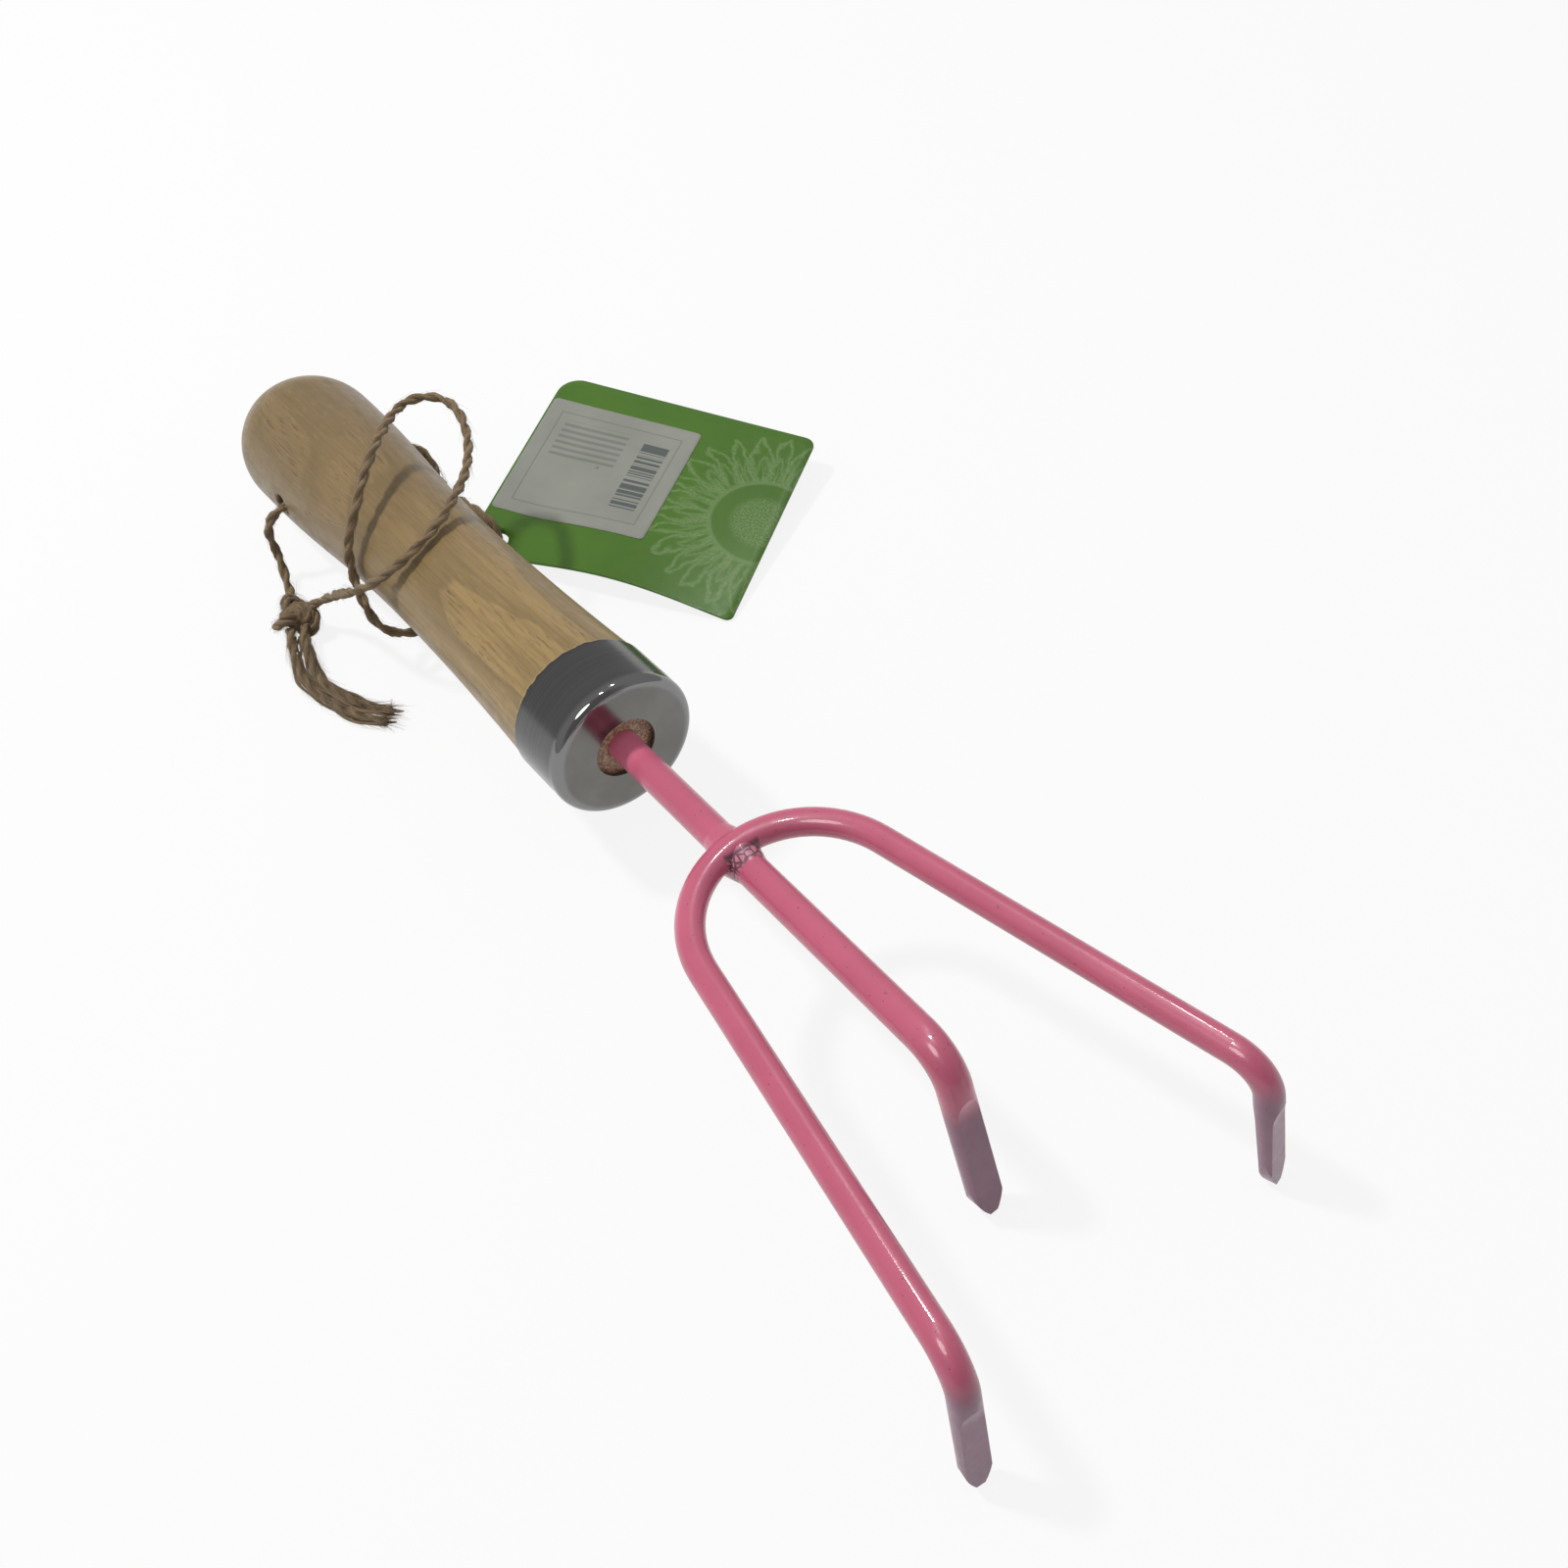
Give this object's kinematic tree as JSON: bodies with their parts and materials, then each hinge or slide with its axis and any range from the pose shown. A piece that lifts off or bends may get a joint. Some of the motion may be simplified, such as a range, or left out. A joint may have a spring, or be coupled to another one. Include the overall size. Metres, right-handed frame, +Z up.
{
  "type": "hand cultivator",
  "caption": "Three-pronged hand cultivator with a turned wooden handle, a steel ferrule, bent pink tines, and a twine hang loop with a printed swing tag.",
  "frame": {"origin": "middle of the tool's footprint, on the ground, as it rests on its tine points and the butt of its handle", "axes": "+X from the handle's butt towards the tines, along the ground; +Z up; +Y to the left of someone looking along +X"},
  "size_m": [0.3202, 0.1447, 0.0476],
  "materials": {
    "varnished_ash": "turned pale ash under a thin clear satin varnish",
    "polished_steel": "polished and lightly brushed plated steel",
    "pink_paint": "glossy pink enamel, a little uneven at the welds",
    "jute": "natural brown two-ply jute with loose fibres",
    "printed_card": "stiff green card with a pale printed flower",
    "label_paper": "matt white self-adhesive paper"
  },
  "bodies": {
    "tool": {"handle": "varnished_ash", "ferrule": "polished_steel", "shank": "pink_paint", "centre_tine": "pink_paint", "outer_tine_fork": "pink_paint", "weld_bead_rear": "pink_paint", "weld_bead_front": "pink_paint", "twine_short_way": "jute", "twine_long_way": "jute", "twine_knot": "jute", "twine_tail_long": "jute", "twine_tail_short": "jute"},
    "tag": {"swing_tag": "printed_card", "price_label": "label_paper"}
  },
  "joints": [
    {"name": "tag_swivel", "type": "hinge", "parent": "tool", "child": "tag", "pos_m": [-0.09245, 0.01737, 0.0056], "axis": [0, 0, 1], "range_deg": [-45, 35]}
  ]
}
